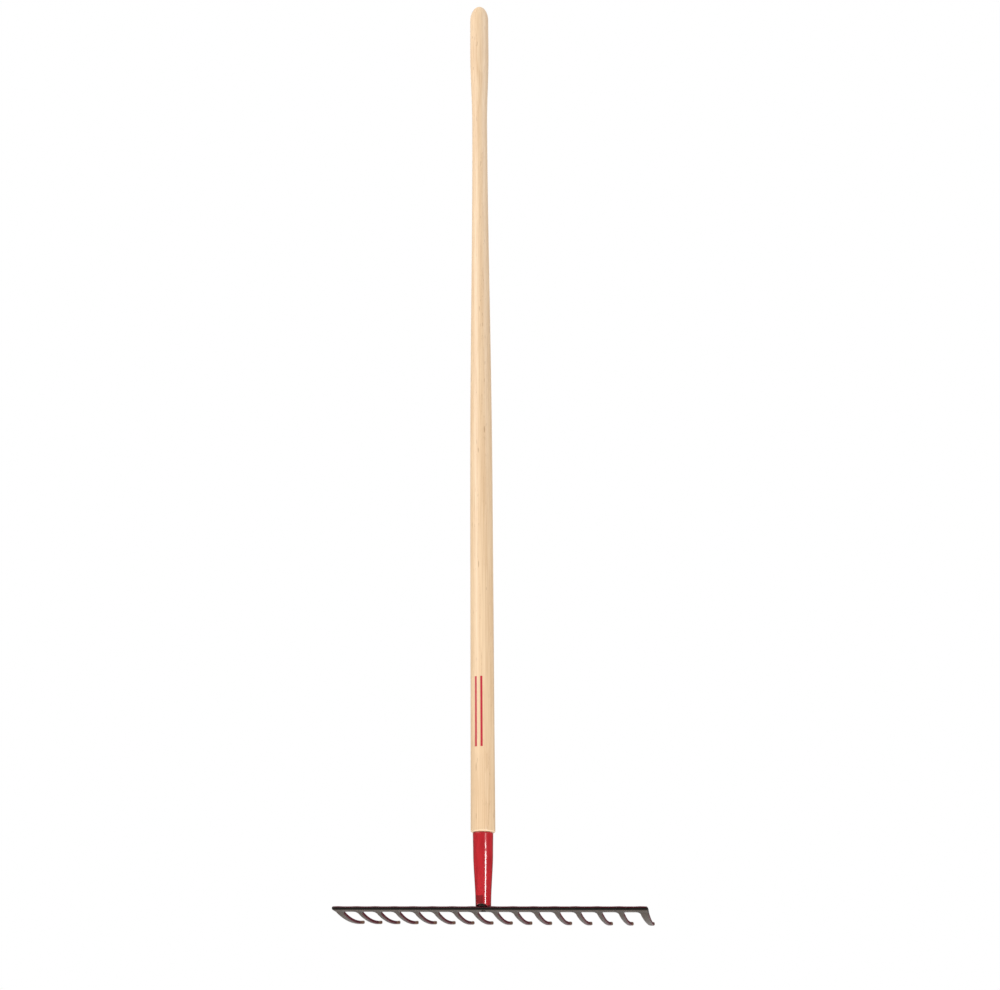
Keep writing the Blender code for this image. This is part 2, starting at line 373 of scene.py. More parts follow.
@dataclass(frozen=True)
class LacqueredAsh(Finish):
    """Ash, turned, sanded and clear lacquered.

    Ash is ring-porous: pale dense wood between bands of open pores. On a turned stick the bands
    run up it as faint darker lines, with short brown dashes where the pores are cut lengthways.
    A light coat of lacquer gives a soft narrow shine.
    """

    name: str = "lacquered_ash"
    roughness: float = 0.48
    coat: float = 0.25
    coat_roughness: float = 0.22
    pale: str = "#F0D2AC"
    band: str = "#DDB88E"
    pore: str = "#9A6C44"
    # Colour of the painted highlight on the shoulder's rounded edge.
    rim: str = "#FFE2BC"
    ink: str = "#BE1230"
    ring_mm: float = 3.4
    pith: tuple[float, float] = (0.055, -0.072)
    tilt_degrees: float = 0.7
    axis_y: float = 0.0062
    mark_low: float = 0.1935
    mark_high: float = 0.2855
    mark_line_mm: float = 2.8
    mark_pitch_mm: float = 7.6
    mark_left_mm: float = 0.7
    shoulder_z: float = 0.0890
    rim_highlight_height: float = 0.0017

    def rings(self, tree: bpy.types.NodeTree) -> bpy.types.NodeSocket:
        """Growth rings about a pith that lies beside the stick, leaning a little off its axis."""
        place = add_node(tree, "TexCoord").outputs["Object"]
        lean = (math.radians(self.tilt_degrees), math.radians(-self.tilt_degrees * 0.6), 0)
        moved = add_node(
            tree, "Mapping", {"Location": (*self.pith, 0), "Rotation": lean}, {"Vector": place}
        ).outputs[0]
        # A wave texture repeats each 2 pi / 20 units at a scale of 1.
        settings = {
            "wave_type": "RINGS",
            "rings_direction": "Z",
            "wave_profile": "SAW",
            "Scale": FULL_TURN / 20 / (self.ring_mm * MM),
            "Distortion": 1.4,
            "Detail": 1.5,
            "Detail Scale": 0.35,
        }
        return add_node(tree, "TexWave", settings, {"Vector": moved}).outputs["Fac"]

    def mark(self, tree: bpy.types.NodeTree) -> bpy.types.NodeSocket:
        """Two plain printed lines along the back of the stick, 0 off them and 1 on them."""
        place = add_node(tree, "TexCoord").outputs["Object"]
        axes = add_node(tree, "SeparateXYZ", links={0: place}).outputs
        beside = combine(tree, "ABSOLUTE", combine(tree, "ADD", axes["X"], self.mark_left_mm * MM), 0.0)
        from_line = combine(tree, "ABSOLUTE", combine(tree, "SUBTRACT", beside, self.mark_pitch_mm * MM / 2), 0.0)
        half = self.mark_line_mm * MM / 2
        across = ramp(tree, from_line, half + 0.15 * MM, half - 0.15 * MM)
        middle = (self.mark_low + self.mark_high) / 2
        along = combine(tree, "ABSOLUTE", combine(tree, "SUBTRACT", axes["Z"], middle), 0.0)
        reach = (self.mark_high - self.mark_low) / 2
        within = combine(tree, "MULTIPLY", across, ramp(tree, along, reach + 0.2 * MM, reach - 0.2 * MM))
        return combine(tree, "MULTIPLY", within, combine(tree, "LESS_THAN", axes["Y"], self.axis_y))

    def build(self) -> bpy.types.Material:
        """Makes the material."""
        made, tree, shader = self.start()
        rings = self.rings(tree)
        late = ramp(tree, rings, 0.35, 0.95)
        fibre = noise(tree, Vector((1.2, 1.2, 80)), detail=3)
        cloud = noise(tree, Vector((14, 14, 160)), Vector((0.3, 0.1, 0.7)), detail=1)
        # Real pores are 0.2 mm wide: they are drawn 0.8 mm wide, as coarse as they need to show.
        pores = ramp(tree, noise(tree, Vector((0.8, 0.8, 9)), Vector((0.1, 0.5, 0.2))), 0.62, 0.72)
        dashes = ramp(tree, noise(tree, Vector((2.4, 2.4, 30)), Vector((0.7, 0.2, 0.4)), 1), 0.72, 0.77)
        tone = combine(tree, "MULTIPLY", late, 0.22)
        tone = combine(tree, "ADD", tone, combine(tree, "MULTIPLY", ramp(tree, fibre, 0.38, 0.66), 0.55))
        tone = combine(tree, "ADD", tone, combine(tree, "MULTIPLY", ramp(tree, cloud, 0.4, 0.7), 0.25))
        colour = blend_colour(tree, tone, linear(self.pale), linear(self.band))
        open_pores = combine(tree, "MULTIPLY", combine(tree, "MULTIPLY", pores, late), 0.45)
        colour = blend_colour(tree, open_pores, colour, linear(self.pore))
        colour = blend_colour(tree, combine(tree, "MULTIPLY", dashes, 0.6), colour, linear(self.pore))
        colour = blend_colour(tree, self.mark(tree), colour, linear(self.ink))
        # Painted highlight: the shoulder's rounded edge is drawn paler than the rest, standing in for the light it
        # catches from below.
        height = add_node(tree, "SeparateXYZ", links={0: add_node(tree, "TexCoord").outputs["Object"]}).outputs["Z"]
        painted_rim_highlight = combine(tree, "GREATER_THAN", height, self.shoulder_z - GAP)
        top = self.shoulder_z + self.rim_highlight_height
        painted_rim_highlight = combine(tree, "MULTIPLY", painted_rim_highlight, ramp(tree, height, top + 0.4 * MM, top - 0.4 * MM))
        colour = blend_colour(tree, painted_rim_highlight, colour, linear(self.rim))
        tree.links.new(colour, shader.inputs["Base Color"])
        rough = add_node(tree, "MapRange", {"To Min": 0.42, "To Max": 0.56}, {"Value": fibre}).outputs[0]
        tree.links.new(rough, shader.inputs["Roughness"])
        bump(tree, shader, combine(tree, "SUBTRACT", fibre, pores), 0.10, 0.35)
        return made


@dataclass(frozen=True)
class RedEnamel(Finish):
    """Stoved gloss enamel on steel: deep red, mirror-smooth but for a faint orange peel, with painted shade at the
    lip and a painted reflection of the dark bar above it.
    """

    name: str = "red_gloss_enamel"
    roughness: float = 0.22
    coat: float = 1.0
    coat_roughness: float = 0.035
    red: str = "#C3202A"
    deep: str = "#B01822"
    # Colour of the painted shade at the mouth, where the ferrule stands on the bar.
    mouth_shade: str = "#3A0608"
    # Colour of the painted reflection of the dark bar, above the mouth.
    shade: str = "#4E0A0E"
    peel_mm: float = 6.0
    lip_z: float = 0.0024
    mouth_shade_height: float = 0.0022
    bar_reflection_top_z: float = 0.0146

    def build(self) -> bpy.types.Material:
        """Makes the material."""
        made, tree, shader = self.start()
        cloud = noise(tree, Vector((7, 7, 22)), detail=3)
        colour = blend_colour(tree, ramp(tree, cloud, 0.35, 0.7), linear(self.red), linear(self.deep))
        place = add_node(tree, "TexCoord").outputs["Object"]
        axes = add_node(tree, "SeparateXYZ", links={0: place}).outputs
        height = axes["Z"]
        # Painted reflection of the dark bar: the enamel is drawn darker above the mouth, on the left of the back.
        painted_bar_reflection = ramp(tree, height, self.bar_reflection_top_z + 0.7 * MM, self.bar_reflection_top_z - 0.7 * MM)
        painted_bar_reflection = combine(tree, "MULTIPLY", painted_bar_reflection, ramp(tree, axes["X"], 4 * MM, 1 * MM))
        colour = blend_colour(tree, combine(tree, "MULTIPLY", painted_bar_reflection, 0.6), colour, linear(self.shade))
        # Painted shade where the mouth stands on the bar: the lowest few millimetres go almost black, with a ragged
        # top.
        speckle = noise(tree, Vector((0.9, 0.9, 0.9)), detail=4)
        ragged = combine(tree, "ADD", height, combine(tree, "MULTIPLY", speckle, -self.mouth_shade_height))
        lip = ramp(tree, ragged, self.lip_z + self.mouth_shade_height * 0.4, self.lip_z - self.mouth_shade_height * 0.5)
        colour = blend_colour(tree, combine(tree, "MULTIPLY", lip, 0.8), colour, linear(self.mouth_shade))
        tree.links.new(colour, shader.inputs["Base Color"])
        peel = noise(tree, Vector((self.peel_mm,) * 3), detail=1)
        bump(tree, shader, peel, 0.05, 0.02)
        return made


@dataclass(frozen=True)
class UmberBlackEnamel(Finish):
    """Dipped black enamel on a hot forging: semi-gloss and slightly brown.

    The teeth's side walls and the bar's top back edge are tinted maroon, and the coat is rubbed at the tooth ends.
    The forging's hammered skin shows as a shallow pitting.
    """

    name: str = "umber_black_enamel"
    roughness: float = 0.42
    specular: float = 0.2
    black: str = "#090706"
    umber: str = "#14100C"
    maroon: str = "#52081A"
    rubbed: str = "#7A5842"
    # Colour of the painted reflection of the pale floor on faces that turn down.
    floor_reflection_colour: str = "#524235"
    pit_mm: float = 1.1

    def build(self) -> bpy.types.Material:
        """Makes the material."""
        made, tree, shader = self.start()
        cloud = noise(tree, Vector((6, 6, 6)), detail=4)
        colour = blend_colour(tree, ramp(tree, cloud, 0.35, 0.65), linear(self.black), linear(self.umber))
        sideways_maroon = add_node(tree, "Attribute", {"attribute_name": PaintMask.MAROON_SIDES.value}).outputs["Fac"]
        worn = add_node(tree, "Attribute", {"attribute_name": PaintMask.RUBBED.value}).outputs["Fac"]
        grain = noise(tree, Vector((0.9, 0.9, 0.9)), detail=4)
        # Painted reflection of the pale floor: faces that turn down are drawn lighter, broken up by grain.
        floor_reflection_mask = add_node(tree, "Attribute", {"attribute_name": PaintMask.FLOOR_REFLECTION.value}).outputs["Fac"]
        floor_reflection_share = combine(tree, "MULTIPLY", floor_reflection_mask, ramp(tree, grain, 0.15, 0.6))
        colour = blend_colour(tree, combine(tree, "MULTIPLY", floor_reflection_share, 0.8), colour, linear(self.floor_reflection_colour))
        # Maroon on the faces that turn along the bar on the teeth and up at the bar's back edge, broken up by
        # grain.
        patchy = ramp(tree, combine(tree, "ADD", sideways_maroon, combine(tree, "MULTIPLY", grain, 0.4)), 0.35, 0.8)
        colour = blend_colour(tree, patchy, colour, linear(self.maroon))
        chipped = ramp(tree, combine(tree, "ADD", worn, combine(tree, "MULTIPLY", grain, 0.5)), 0.6, 1.1)
        colour = blend_colour(tree, combine(tree, "MULTIPLY", chipped, 0.8), colour, linear(self.rubbed))
        tree.links.new(colour, shader.inputs["Base Color"])
        rough = add_node(tree, "MapRange", {"To Min": 0.26, "To Max": 0.42}, {"Value": cloud}).outputs[0]
        tree.links.new(rough, shader.inputs["Roughness"])
        pits = noise(tree, Vector((self.pit_mm,) * 3), detail=3)
        bump(tree, shader, pits, 0.15, 0.3)
        return made


@dataclass(frozen=True)
class BlackOxideSteel(Finish):
    """Forged steel with a black oxide skin: a dull dark metal, mottled, with a few rusty freckles."""

    name: str = "black_oxide_steel"
    roughness: float = 0.5
    metallic: float = 0.85
    skin: str = "#2B2725"
    bare: str = "#4A433E"
    rust: str = "#4A2A1A"

    def build(self) -> bpy.types.Material:
        """Makes the material."""
        made, tree, shader = self.start()
        cloud = noise(tree, Vector((2.5, 2.5, 2.5)), detail=4)
        colour = blend_colour(tree, ramp(tree, cloud, 0.4, 0.75), linear(self.skin), linear(self.bare))
        freckles = ramp(tree, noise(tree, Vector((0.8, 0.8, 0.8)), Vector((0.2, 0.2, 0.2)), 3), 0.62, 0.72)
        colour = blend_colour(tree, combine(tree, "MULTIPLY", freckles, 0.5), colour, linear(self.rust))
        tree.links.new(colour, shader.inputs["Base Color"])
        bump(tree, shader, cloud, 0.12, 0.5)
        return made


@dataclass(frozen=True)
class PalePaper(Finish):
    """Matte paper sweep: off-white, with tooth too faint to see from where a studio camera stands."""

    name: str = "pale_paper"
    roughness: float = 0.9
    sheet: str = "#F6F5F3"
    shade: str = "#F1F0EE"

    def build(self) -> bpy.types.Material:
        """Makes the material."""
        made, tree, shader = self.start()
        cloud = noise(tree, Vector((300, 300, 300)), detail=2)
        colour = blend_colour(tree, cloud, linear(self.sheet), linear(self.shade))
        tree.links.new(colour, shader.inputs["Base Color"])
        return made


# Pieces


class PaintMask(Enum):
    """The head's painted masks, each a vertex attribute from 0 to 1."""

    MAROON_SIDES = "maroon_sides_mask"
    RUBBED = "rubbed_paint"
    FLOOR_REFLECTION = "painted_floor_reflection"


@dataclass
class Ferrule:
    """Tapered steel tube that joins the handle to the head."""

    axis_y: float = 0.0062
    wall: float = 0.0016
    bottom_radius: float = 0.0095
    swell_radius: float = 0.0124
    top_radius: float = 0.0128
    taper_share: float = 0.76
    lip_round: float = 0.0007
    pin_radius: float = 0.0015
    pin_drop: float = 0.020
    notch_half_width: float = 0.0066
    notch_height: float = 0.0030
    segments: int = 96

    def __post_init__(self) -> None:
        """Takes the tube's two ends from the frame."""
        low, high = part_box("ferrule")
        self.low_z: float = low.z
        self.high_z: float = high.z

    def radius(self, z: float) -> float:
        """Outer radius at a height: a taper that swells, then almost straight to the handle's shoulder."""
        share = (z - self.low_z) / (self.high_z - self.low_z)
        if share < self.taper_share:
            return ease(self.bottom_radius, self.swell_radius, share / self.taper_share)
        rest = (share - self.taper_share) / (1 - self.taper_share)
        return self.swell_radius + (self.top_radius - self.swell_radius) * rest

    def profile(self) -> list[Point]:
        """The wall's loop: rounded lip, outer taper, rounded top edge, then the inside downwards."""
        round_off = self.lip_round
        heights = spread(self.low_z + round_off, self.high_z - round_off, 40)
        lip = (self.radius(heights[0]) - round_off, heights[0])
        rim = (self.radius(heights[-1]) - round_off, heights[-1])
        loop = rounded_corner(lip, round_off, -QUARTER, 0)
        loop += [(self.radius(z), z) for z in heights[1:-1]]
        loop += rounded_corner(rim, round_off, 0, QUARTER)
        inside = spread(self.high_z, self.low_z, 24)
        return loop + [(self.radius(z) - self.wall, z) for z in inside]

    def notch(self) -> bmesh.types.BMesh:
        """The shape cut from the back of the mouth: half an ellipse that stands on the bar."""
        unit = turned([(0, -1), (1, -1), (1, 1), (0, 1)], 48)
        reach = self.bottom_radius
        middle = Vector((0, self.axis_y - 1.2 * reach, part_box("rake_head")[1].z))
        stretch = Matrix.Diagonal((self.notch_half_width, reach, self.notch_height, 1))
        place = Matrix.Translation(middle) @ stretch @ Matrix.Rotation(QUARTER, 4, "X")
        bmesh.ops.transform(unit, matrix=place, verts=unit.verts[:])
        return unit

    def pin_place(self, clearance: float = 0.0) -> Matrix:
        """The pin's seat on the side that the teeth point to, with its own +Z turned outwards."""
        z = self.high_z + GAP - self.pin_drop
        seat = Vector((0, self.axis_y + self.radius(z) + clearance, z))
        return Matrix.Translation(seat) @ Matrix.Rotation(-QUARTER, 4, "X")

    def build(self, material: bpy.types.Material) -> bpy.types.Object:
        """Builds the tube with its notch and the hole for its pin."""
        bm = turned(self.profile(), self.segments, ring=True)
        bmesh.ops.translate(bm, verts=bm.verts[:], vec=(0, self.axis_y, 0))
        piece = make_object("enamelled_ferrule", bm)
        drill(piece, self.notch())
        reach = self.wall * 2
        hole_radius = self.pin_radius + GAP
        hole = turned([(0, -reach), (hole_radius, -reach), (hole_radius, reach), (0, reach)], 32)
        bmesh.ops.transform(hole, matrix=self.pin_place(), verts=hole.verts[:])
        drill(piece, hole)
        return install(piece, material, "red_enamel", "ferrule")


@dataclass
class Tang:
    """Round steel tang: a stub riveted through the bar, a collar in the ferrule and a tapered shank."""

    axis_y: float = 0.0062
    stub_radius: float = 0.0026
    collar_height: float = 0.0100
    collar_slope: float = 0.0120
    shank_radius: float = 0.0040
    tip_radius: float = 0.0025
    neck_round: float = 0.0012
    segments: int = 64

    def __post_init__(self) -> None:
        """Takes the tang's ends and its collar's radius from the frame."""
        low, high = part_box("tang")
        self.low_z: float = low.z
        self.high_z: float = high.z
        self.collar_radius: float = (high.x - low.x) / 2
        self.seat_z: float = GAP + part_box("rake_head")[1].z

    def slopes(self, clearance: float) -> list[Point]:
        """(radius, z) up the tang from its collar's top to its tip, a clearance outside it."""
        slope_z = self.seat_z + self.collar_height
        return [
            (self.collar_radius + clearance, slope_z),
            (self.shank_radius + clearance, slope_z + self.collar_slope),
            (self.tip_radius + clearance, self.high_z + clearance),
        ]

    def profile(self) -> list[Point]:
        """From the peened end under the bar, up the outside, to the tip."""
        seat, low = self.seat_z, self.low_z
        dome = [(self.stub_radius * math.sin(a), low + 0.0004 * (1 - math.cos(a))) for a in spread(0, QUARTER, 5)]
        foot = (self.collar_radius - self.neck_round, seat + self.neck_round)
        collar = rounded_corner(foot, self.neck_round, -QUARTER, 0)
        tip = rounded_corner((0, self.high_z - self.tip_radius), self.tip_radius, 0, QUARTER, 8)
        tip[-1] = (0, self.high_z)
        return dome + [(self.stub_radius, seat)] + collar + self.slopes(0)[:2] + tip

    def build(self, material: bpy.types.Material) -> bpy.types.Object:
        """Builds the tang."""
        bm = turned(self.profile(), self.segments)
        bmesh.ops.translate(bm, verts=bm.verts[:], vec=(0, self.axis_y, 0))
        return install(make_object("riveted_tang", bm), material, "tang_steel", "tang")


@dataclass
class Handle:
    """Turned ash handle: tenon, rounded shoulder, belly, long taper, neck, knob and domed end."""

    ferrule: Ferrule
    tang: Tang
    axis_y: float = 0.0062
    shoulder_radius: float = 0.0154
    shoulder_round: float = 0.0018
    belly_radius: float = 0.0160
    neck_radius: float = 0.0127
    knob_radius: float = 0.0161
    belly_length: float = 0.511
    taper_length: float = 0.600
    neck_length: float = 0.050
    swell_length: float = 0.165
    dome_length: float = 0.030
    pin_length: float = 0.0070
    segments: int = 112
    rows: int = 220

    def __post_init__(self) -> None:
        """Takes the stick's two ends and its shoulder from the frame."""
        low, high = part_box("handle")
        self.low_z: float = low.z
        self.high_z: float = high.z
        self.shoulder_z: float = self.ferrule.high_z + GAP

    def radius(self, height: float) -> float:
        """Radius at a height above the shoulder."""
        if height < self.belly_length:
            return ease(self.shoulder_radius, self.belly_radius, height / self.belly_length)
        neck_start = self.belly_length + self.taper_length
        if height < neck_start:
            return ease(self.belly_radius, self.neck_radius, (height - self.belly_length) / self.taper_length)
        share = (height - neck_start - self.neck_length) / self.swell_length
        return ease(self.neck_radius, self.knob_radius, share)

    def profile(self) -> list[Point]:
        """From the end of the tang's bore, down it, up the outside of the tenon and the stick."""
        bore = [point for point in reversed(self.tang.slopes(GAP)) if point[1] > self.low_z]
        mouth = (bore[-1][0] + GAP, self.low_z)
        tenon = spread(self.low_z, self.shoulder_z, 16)
        line = [(0, bore[0][1])] + bore + [mouth]
        line += [(self.ferrule.radius(z) - self.ferrule.wall - GAP, z) for z in tenon]
        corner = (self.shoulder_radius - self.shoulder_round, self.shoulder_z + self.shoulder_round)
        line += rounded_corner(corner, self.shoulder_round, -QUARTER, 0, 7)
        dome_start = self.high_z - self.shoulder_z - self.dome_length
        heights = spread(self.shoulder_round, dome_start, self.rows)[1:]
        line += [(self.radius(height), self.shoulder_z + height) for height in heights]
        for angle in spread(0, QUARTER, 18)[1:-1]:
            z = self.shoulder_z + dome_start + self.dome_length * math.sin(angle)
            line.append((self.knob_radius * math.cos(angle), z))
        return line + [(0, self.high_z)]

    def build(self, material: bpy.types.Material) -> bpy.types.Object:
        """Builds the stick, bored for the tang and drilled for the pin."""
        bm = turned(self.profile(), self.segments)
        bmesh.ops.translate(bm, verts=bm.verts[:], vec=(0, self.axis_y, 0))
        piece = make_object("turned_handle", bm)
        hole_radius = self.ferrule.pin_radius + GAP
        depth = self.pin_length + GAP
        hole = turned([(0, -depth), (hole_radius, -depth), (hole_radius, 0), (0, 0)], 32)
        bmesh.ops.transform(hole, matrix=self.ferrule.pin_place(), verts=hole.verts[:])
        drill(piece, hole)
        return install(piece, material, "ash_wood", "handle")


@dataclass
class FerrulePin:
    """Round-headed pin driven through the ferrule into the tenon, on the side that the teeth point to."""

    ferrule: Ferrule
    length: float = 0.0070
    head_radius: float = 0.0029
    head_height: float = 0.0009
    segments: int = 48

    def build(self, material: bpy.types.Material) -> bpy.types.Object:
        """Builds the pin."""
        shank = self.ferrule.pin_radius
        line = [(0, -self.length), (shank * 0.5, -self.length), (shank, shank - self.length), (shank, 0)]
        line += [(self.head_radius * 0.94, 0), (self.head_radius, self.head_height * 0.15)]
        for angle in spread(0, QUARTER, 9)[1:-1]:
            rise = self.head_height * (0.15 + 0.85 * math.sin(angle))
            line.append((self.head_radius * math.cos(angle), rise))
        bm = turned(line + [(0, self.head_height)], self.segments)
        bmesh.ops.transform(bm, matrix=self.ferrule.pin_place(GAP), verts=bm.verts[:])
        return install(make_object("driven_pin", bm), material, "tang_steel", "ferrule_pin")


@dataclass
class RakeHead:
    """Forged head: a straight bar whose sixteen curved teeth grow out of one side."""

    tooth_count: int = 16
    pitch: float = 0.0254
    tooth_width: float = 0.0049
    root_width: float = 0.0064
    thickness: float = 0.0041
    reach: float = 0.0898
    bar_depth: float = 0.0102
    back_height: float = 0.0042
    end_margin: float = 0.0077
    underside_drop: float = 0.0020
    fillet_along_bar: float = 0.0038
    fillet_along_tooth: float = 0.0075
    arc_radius: float = 0.177
    arc_lowest_y: float = 0.069
    taper_length: float = 0.040
    top_blend: float = 0.010
    edge_round: float = 0.0014
    swell_height: float = 0.00025
    swell_reach: float = 0.0075
    stub_radius: float = 0.0026
    axis_y: float = 0.0062
    fillet_steps: int = 8
    tooth_steps: int = 22
    cap_steps: int = 7
    base_columns: int = 4
    gap_columns: int = 5

    def middle(self, index: int) -> float:
        """X of a tooth's middle line."""
        return (index - (self.tooth_count - 1) / 2) * self.pitch

    def half_width(self, y: float) -> float:
        """Half the width of a tooth past its root fillet."""
        share = (y - self.bar_depth - self.fillet_along_tooth) / self.taper_length
        return ease(self.root_width, self.tooth_width, share) / 2

    def side(self, y: float, outermost: bool) -> float:
        """Distance of a tooth's side from its middle line.

        Args:
            y: the place along the tooth.
            outermost: whether this is the head's own end, which runs straight with no root fillet.

        Returns:
            The distance, in metres.
        """
        straight_end = self.reach - self.tooth_width / 2
        if outermost:
            return self.end_margin + (self.tooth_width / 2 - self.end_margin) * y / straight_end
        share = 1 - min(max(y - self.bar_depth, 0) / self.fillet_along_tooth, 1)
        return self.half_width(y) + self.fillet_along_bar * (1 - math.sqrt(1 - share * share))

    def arc_rise(self, y: float) -> float:
        """Height of the tooth's arc over its lowest point."""
        return self.arc_radius - math.sqrt(self.arc_radius**2 - (y - self.arc_lowest_y) ** 2)

    def underside(self, y: float) -> float:
        """Height of the head's underside: it slopes down across the bar, then follows the tooth's arc."""
        if y <= self.bar_depth:
            return -self.back_height / 2 - self.underside_drop * max(y, 0.0) / self.bar_depth
        lowest = -self.back_height / 2 - self.underside_drop - self.arc_rise(self.bar_depth)
        return lowest + self.arc_rise(y)

    def top(self, x: float, y: float) -> float:
        """Height of the head's top: flat on the bar but for a low swell where each tooth was drawn out."""
        nearest = min(max(round(x / self.pitch + (self.tooth_count - 1) / 2), 0), self.tooth_count - 1)
        off = min(abs(x - self.middle(nearest)) / self.swell_reach, 1)
        swell = self.swell_height * (1 - off * off) ** 2
        share = (y - self.bar_depth) / self.top_blend
        on_bar = self.back_height / 2 + swell
        if y <= self.bar_depth:
            return on_bar
        return ease(on_bar, self.underside(y) + self.thickness, share)

    def bar_plan(self, bm: bmesh.types.BMesh) -> None:
        """Lays the bar out flat, a run of columns for each tooth's base and for each gap."""
        columns = []
        for index in range(self.tooth_count):
            left = self.middle(index) - self.side(self.bar_depth, index == 0)
            right = self.middle(index) + self.side(self.bar_depth, index == self.tooth_count - 1)
            if columns:
                columns += spread(columns[-1], left, self.gap_columns)[1:-1]
            columns += spread(left, right, self.base_columns)
        steps = len(columns) - 1
        bmesh.ops.create_grid(bm, x_segments=steps, y_segments=1, size=1)
        for vertex in bm.verts:
            vertex.co.x = columns[round((vertex.co.x + 1) / 2 * steps)]
            vertex.co.y = self.bar_depth if vertex.co.y > 0 else 0.0
        # The head's own ends lean in towards the tooth ends from the back face onwards.
        for vertex in bm.verts:
            if vertex.co.y == 0 and abs(abs(vertex.co.x) - max(columns)) < GAP:
                outermost = self.middle(self.tooth_count - 1) + self.side(0, True)
                vertex.co.x = math.copysign(outermost, vertex.co.x)

    def tooth_rows(self) -> list[float]:
        """The y of each row along a tooth: close in the root fillet, even after it, close in the round end."""
        fillet_end = self.bar_depth + self.fillet_along_tooth
        straight_end = self.reach - self.tooth_width / 2
        angles = spread(0, QUARTER, self.fillet_steps)[1:]
        rows = [self.bar_depth + self.fillet_along_tooth * (1 - math.cos(a)) for a in angles]
        rows += spread(fillet_end, straight_end, self.tooth_steps)[1:]
        cap = [math.sin(a) for a in spread(0, QUARTER, self.cap_steps)[1:]]
        return rows + [straight_end + self.tooth_width / 2 * share for share in cap]

    def edges_of(self, index: int, y: float) -> Point:
        """Left and right x of one tooth at y, round at its end."""
        half = self.tooth_width / 2
        past = y - (self.reach - half)
        if past > FLAT:
            half = math.sqrt(max(half * half - past * past, 0.0))
            return self.middle(index) - half, self.middle(index) + half
        left = self.middle(index) - self.side(y, index == 0)
        return left, self.middle(index) + self.side(y, index == self.tooth_count - 1)

    def grow_tooth(self, bm: bmesh.types.BMesh, index: int) -> None:
        """Extrudes one tooth row by row from its base on the bar's front edge.

        Args:
            bm: the flat plan.
            index: which tooth, from the left.
        """
        left, right = self.edges_of(index, self.bar_depth)
        front = [
            edge
            for edge in bm.edges
            if all(abs(v.co.y - self.bar_depth) < FLAT and left - FLAT < v.co.x < right + FLAT for v in edge.verts)
        ]
        for y in self.tooth_rows():
            grown = bmesh.ops.extrude_edge_only(bm, edges=front)["geom"]
            front = [item for item in grown if isinstance(item, bmesh.types.BMEdge)]
            moved = [item for item in grown if isinstance(item, bmesh.types.BMVert)]
            new_left, new_right = self.edges_of(index, y)
            for vertex in moved:
                share = (vertex.co.x - left) / (right - left)
                vertex.co = (new_left + (new_right - new_left) * share, y, 0)
            front = [edge for edge in front if all(abs(v.co.y - y) < FLAT for v in edge.verts)]
            left, right = new_left, new_right
        bmesh.ops.pointmerge(bm, verts=moved, merge_co=(self.middle(index), self.reach, 0))

    def is_rim(self, edge: bmesh.types.BMEdge) -> bool:
        """Whether an edge lies along the top or the bottom of the plate's outline."""
        first, second = edge.verts
        return abs(first.co.z - second.co.z) < FLAT and edge.calc_face_angle(0) > RIM_ANGLE

    def paint_masks(self, piece: bpy.types.Object) -> None:
        """Writes, vertex by vertex, where the head is tinted maroon, where the enamel is rubbed away and where the
        painted floor reflection goes.
        """
        mesh = piece.data
        sideways_maroon = mesh.attributes.new(PaintMask.MAROON_SIDES.value, "FLOAT", "POINT")
        rubbed = mesh.attributes.new(PaintMask.RUBBED.value, "FLOAT", "POINT")
        floor_reflection_mask = mesh.attributes.new(PaintMask.FLOOR_REFLECTION.value, "FLOAT", "POINT")
        for vertex in mesh.vertices:
            normal = vertex.normal
            y = vertex.co.y
            # The maroon mask follows which way a face turns: along the bar on the teeth, and up and back at the
            # bar's back edge.
            sideways = abs(normal.x) * ease(0, 1, (y - self.bar_depth) / 0.01)
            upwards = max(normal.z, 0.0) * max(-normal.y, 0.0) * 2
            sideways_maroon.data[vertex.index].value = min(max(sideways, upwards), 1.0)
            rubbed.data[vertex.index].value = ease(0, 1, (y - self.reach + 0.026) / 0.018)
            # Painted reflection of the pale floor, on faces that turn down.
            floor_reflection_mask.data[vertex.index].value = ease(0, 1, (-normal.z - 0.5) / 0.4)

    def build(self, material: bpy.types.Material) -> bpy.types.Object:
        """Builds the head: a flat plan made a plate, its rims rounded, then bent onto the head's curve."""
        bm = bmesh.new()
        self.bar_plan(bm)
        for index in range(self.tooth_count):
            self.grow_tooth(bm, index)
        bmesh.ops.remove_doubles(bm, verts=bm.verts[:], dist=1e-6)
        raised = bmesh.ops.extrude_face_region(bm, geom=bm.faces[:])["geom"]
        moved = [item for item in raised if isinstance(item, bmesh.types.BMVert)]
        bmesh.ops.translate(bm, verts=moved, vec=(0, 0, self.thickness))
        bmesh.ops.recalc_face_normals(bm, faces=bm.faces[:])
        bm.normal_update()
        bmesh.ops.bevel(
            bm,
            geom=[edge for edge in bm.edges if self.is_rim(edge)],
            offset=self.edge_round,
            offset_type="OFFSET",
            segments=4,
            profile=0.5,
            affect="EDGES",
            clamp_overlap=False,
            material=-1,
        )
        for vertex in bm.verts:
            x, y, z = vertex.co
            low, high = self.underside(y), self.top(x, y)
            vertex.co.z = low + (high - low) * z / self.thickness
        piece = make_object("forged_head", bm, 50.0)
        past = self.back_height + self.underside_drop
        hole_radius = self.stub_radius + GAP
        hole = turned([(0, -past), (hole_radius, -past), (hole_radius, past), (0, past)], 40)
        bmesh.ops.translate(hole, verts=hole.verts[:], vec=(0, self.axis_y, 0))
        drill(piece, hole)
        self.paint_masks(piece)
        return install(piece, material, "black_enamel", "rake_head")


FLAT = 1e-6
RIM_ANGLE = math.radians(80)


# Studio


